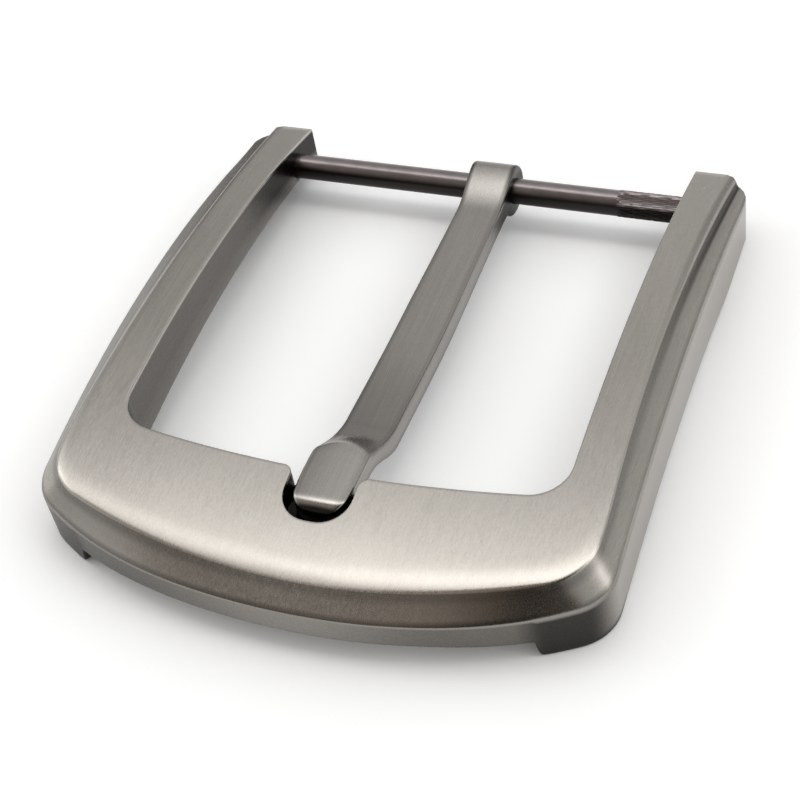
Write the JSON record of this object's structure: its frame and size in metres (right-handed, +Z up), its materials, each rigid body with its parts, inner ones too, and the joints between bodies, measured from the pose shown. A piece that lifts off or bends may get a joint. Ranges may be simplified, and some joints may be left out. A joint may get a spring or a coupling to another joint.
{
  "type": "belt buckle",
  "caption": "Single-prong strap buckle: a crowned U-shaped cast frame with bevelled edges, a round bar across its arms and a swinging prong resting in a notch.",
  "frame": {"origin": "middle of the buckle's footprint, on the surface that it rests on", "axes": "+X along the strap bar to the right arm, +Y from the front rail towards the strap bar, +Z up out of the worn face"},
  "size_m": [0.051, 0.0584, 0.0091],
  "materials": {
    "frame_metal": "brushed satin, pewter-grey plating on cast zinc alloy",
    "bar_steel": "dark plated steel",
    "prong_metal": "brushed satin, pewter-grey plating on cast zinc alloy"
  },
  "bodies": {
    "buckle": {"frame": "frame_metal", "strap_bar": "bar_steel"},
    "tongue": {"prong": "prong_metal"}
  },
  "joints": [
    {"name": "prong_swing", "type": "hinge", "parent": "buckle", "child": "tongue", "pos_m": [0, 0.025, 0.0039], "axis": [-1, 0, 0], "range_deg": [0, 180]}
  ]
}
